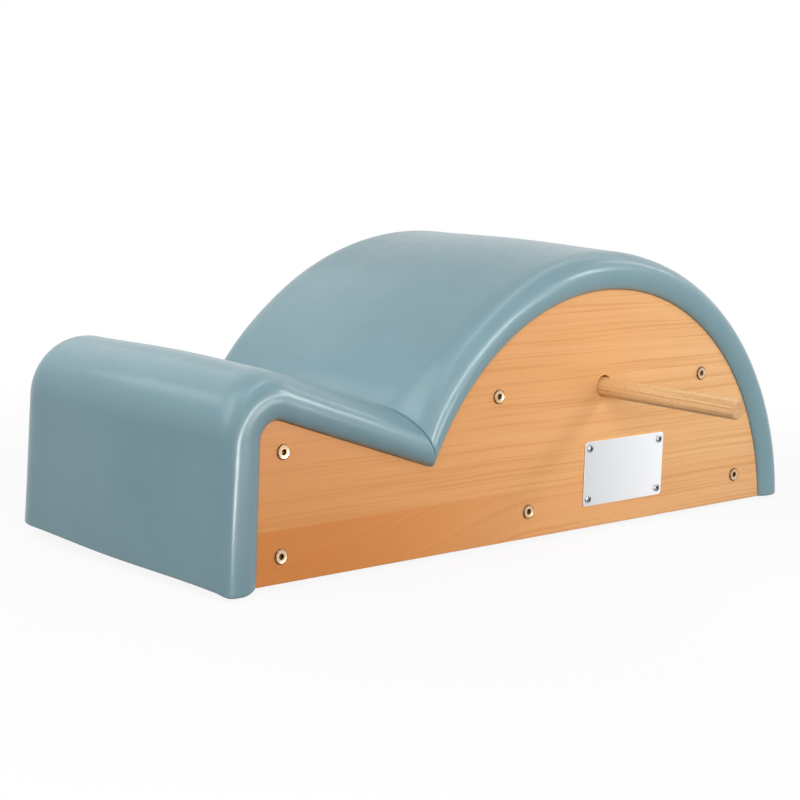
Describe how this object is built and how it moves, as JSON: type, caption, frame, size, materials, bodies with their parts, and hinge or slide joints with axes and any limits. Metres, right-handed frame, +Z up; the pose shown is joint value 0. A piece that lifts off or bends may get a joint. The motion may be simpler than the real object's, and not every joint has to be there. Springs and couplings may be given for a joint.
{
  "type": "pilates spine corrector",
  "caption": "Padded spine corrector with a sloping step and a rounded barrel on beech side panels, and a loose wooden hand bar through both sides.",
  "frame": {"origin": "on the floor, under the middle of the object's overall box", "axes": "+X along the length from the step to the barrel, +Z up, the side with the name plate faces -Y"},
  "size_m": [0.8942, 0.727, 0.3185],
  "materials": {
    "vinyl": "satin blue-grey upholstery vinyl",
    "beech": "satin lacquered beech, orange tan",
    "bar_beech": "bare sanded beech dowel",
    "plywood": "raw bent plywood",
    "rail_wood": "planed softwood",
    "foam": "cut upholstery foam",
    "coppered_steel": "coppered steel connector bolt",
    "zinced_steel": "zinc plated steel",
    "plate_metal": "satin silver plate, bare",
    "rubber": "matt black rubber"
  },
  "bodies": {
    "frame": {"side_panel_near": "beech", "side_panel_far": "beech", "name_plate": "plate_metal", "step_deck": "plywood", "barrel_deck": "plywood", "step_foam": "foam", "barrel_foam": "foam", "step_cover": "vinyl", "barrel_cover": "vinyl", "front_lower_rail": "rail_wood", "front_upper_rail": "rail_wood", "mid_lower_rail": "rail_wood", "mid_upper_rail": "rail_wood", "rear_lower_rail": "rail_wood", "rear_upper_rail": "rail_wood", "bolt_near_front_lower": "coppered_steel", "cross_dowel_near_front_lower": "zinced_steel", "bolt_near_front_upper": "coppered_steel", "cross_dowel_near_front_upper": "zinced_steel", "bolt_near_mid_lower": "coppered_steel", "cross_dowel_near_mid_lower": "zinced_steel", "bolt_near_mid_upper": "coppered_steel", "cross_dowel_near_mid_upper": "zinced_steel", "bolt_near_rear_lower": "coppered_steel", "cross_dowel_near_rear_lower": "zinced_steel", "bolt_near_rear_upper": "coppered_steel", "cross_dowel_near_rear_upper": "zinced_steel", "foot_near_front": "rubber", "foot_screw_near_front": "zinced_steel", "foot_near_rear": "rubber", "foot_screw_near_rear": "zinced_steel", "bolt_far_front_lower": "coppered_steel", "cross_dowel_far_front_lower": "zinced_steel", "bolt_far_front_upper": "coppered_steel", "cross_dowel_far_front_upper": "zinced_steel", "bolt_far_mid_lower": "coppered_steel", "cross_dowel_far_mid_lower": "zinced_steel", "bolt_far_mid_upper": "coppered_steel", "cross_dowel_far_mid_upper": "zinced_steel", "bolt_far_rear_lower": "coppered_steel", "cross_dowel_far_rear_lower": "zinced_steel", "bolt_far_rear_upper": "coppered_steel", "cross_dowel_far_rear_upper": "zinced_steel", "foot_far_front": "rubber", "foot_screw_far_front": "zinced_steel", "foot_far_rear": "rubber", "foot_screw_far_rear": "zinced_steel", "plate_screw_1": "zinced_steel", "plate_screw_2": "zinced_steel", "plate_screw_3": "zinced_steel", "plate_screw_4": "zinced_steel"},
    "hand_bar": {"hand_bar": "bar_beech"}
  },
  "joints": [
    {"name": "bar_slide", "type": "slide", "parent": "frame", "child": "hand_bar", "axis": [0, 1, 0], "range_m": [-0.19, 0.19]}
  ]
}
